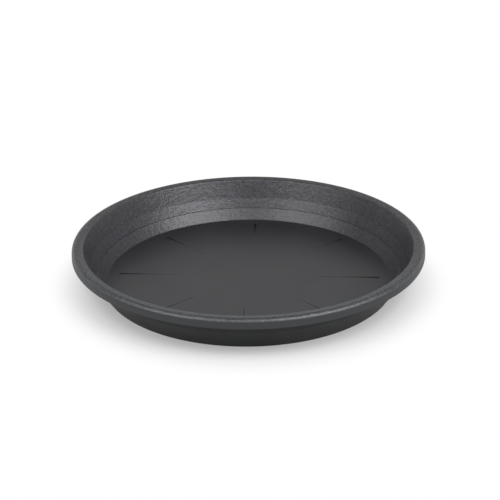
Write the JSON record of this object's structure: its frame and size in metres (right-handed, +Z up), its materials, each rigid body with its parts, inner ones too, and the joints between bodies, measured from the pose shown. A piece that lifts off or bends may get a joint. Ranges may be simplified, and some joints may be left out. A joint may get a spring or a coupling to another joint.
{
  "type": "plant saucer",
  "caption": "Round shallow plant saucer with a leaning stepped wall, rolled-over rim and radial floor channels, standing on a low foot ring to catch water under a pot.",
  "frame": {"origin": "centre of the foot ring, on the ground", "axes": "+Z up along the axis of the dish, +X along one of the floor channels"},
  "size_m": [0.25, 0.25, 0.0307],
  "materials": {
    "anthracite_plastic": "satin anthracite plastic, fine spark grain on the wall and rim, smooth floor"
  },
  "bodies": {
    "root": {"saucer": "anthracite_plastic"}
  },
  "joints": []
}
